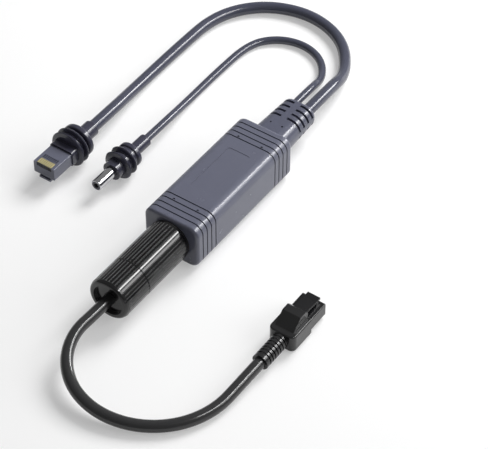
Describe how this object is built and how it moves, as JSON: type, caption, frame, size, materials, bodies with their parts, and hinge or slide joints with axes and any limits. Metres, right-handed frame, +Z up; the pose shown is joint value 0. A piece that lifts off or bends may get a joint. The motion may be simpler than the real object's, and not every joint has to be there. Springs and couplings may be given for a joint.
{
  "type": "power over ethernet splitter",
  "caption": "Inline power splitter: flat box with a sealed grooved cable coupling at one end and a network pigtail and a barrel plug pigtail at the other.",
  "frame": {"origin": "centre of the underside of the box with its coupling and strain relief, on the surface it lies on", "axes": "+X along the body from the sealed inlet coupling to the two pigtails, +Z up"},
  "size_m": [0.262, 0.1559, 0.0226],
  "materials": {
    "grey_shell": "satin moulded plastic",
    "grey_soft": "soft moulded plastic",
    "grey_jacket": "smooth cable jacket",
    "dark_seal": "soft sealing boot",
    "black_shell": "ridged black nylon",
    "black_jacket": "black cable jacket",
    "black_boot": "black moulded boot",
    "seal_rubber": "black rubber",
    "plug_grey": "grey moulded plug",
    "plug_black": "black moulded plug",
    "plug_clear": "clear moulded plug",
    "gold": "gold plating",
    "nickel": "nickel plating",
    "plug_dark": "black plug plastic",
    "board": "green circuit board",
    "component_black": "moulded part",
    "ferrite": "ferrite core",
    "copper": "enamelled winding",
    "capacitor_can": "sleeved can",
    "header_white": "white header",
    "wire": "wire insulation"
  },
  "bodies": {
    "root": {"body_sleeve": "grey_shell", "input_end_cap": "grey_shell", "output_end_cap": "grey_shell", "nipple_gasket": "seal_rubber", "coupling_nipple": "black_shell", "nipple_lock_nut": "black_shell", "coupling_sleeve": "black_shell", "coupling_seal": "seal_rubber", "gland_seal": "seal_rubber", "gland_claw": "black_shell", "gland_cap": "black_shell", "inlet_jack": "component_black", "inlet_jack_contacts": "gold", "lead_inner_plug": "plug_clear", "lead_inner_plug_contacts": "gold", "lead_inner_cable": "black_jacket", "circuit_board": "board", "network_transformer": "component_black", "controller_chip": "component_black", "bridge_rectifiers": "component_black", "power_transformer_core": "ferrite", "power_transformer_winding": "copper", "output_capacitors": "capacitor_can", "output_header": "header_white", "output_strain_relief": "grey_soft", "data_cable_tail": "grey_jacket", "power_cable_tail": "grey_jacket", "data_wires": "wire", "power_wires": "wire", "data_plug_housing": "plug_grey", "data_plug_contacts": "gold", "data_plug_boot": "dark_seal", "power_plug_barrel": "nickel", "power_plug_insulator": "plug_dark", "power_plug_contact": "nickel", "power_plug_collar": "plug_dark", "power_plug_boot": "dark_seal", "network_plug_housing": "plug_black", "network_plug_contacts": "gold", "network_plug_boot": "black_boot", "data_cable": "grey_jacket", "power_cable": "grey_jacket", "network_cable": "black_jacket"}
  },
  "joints": []
}
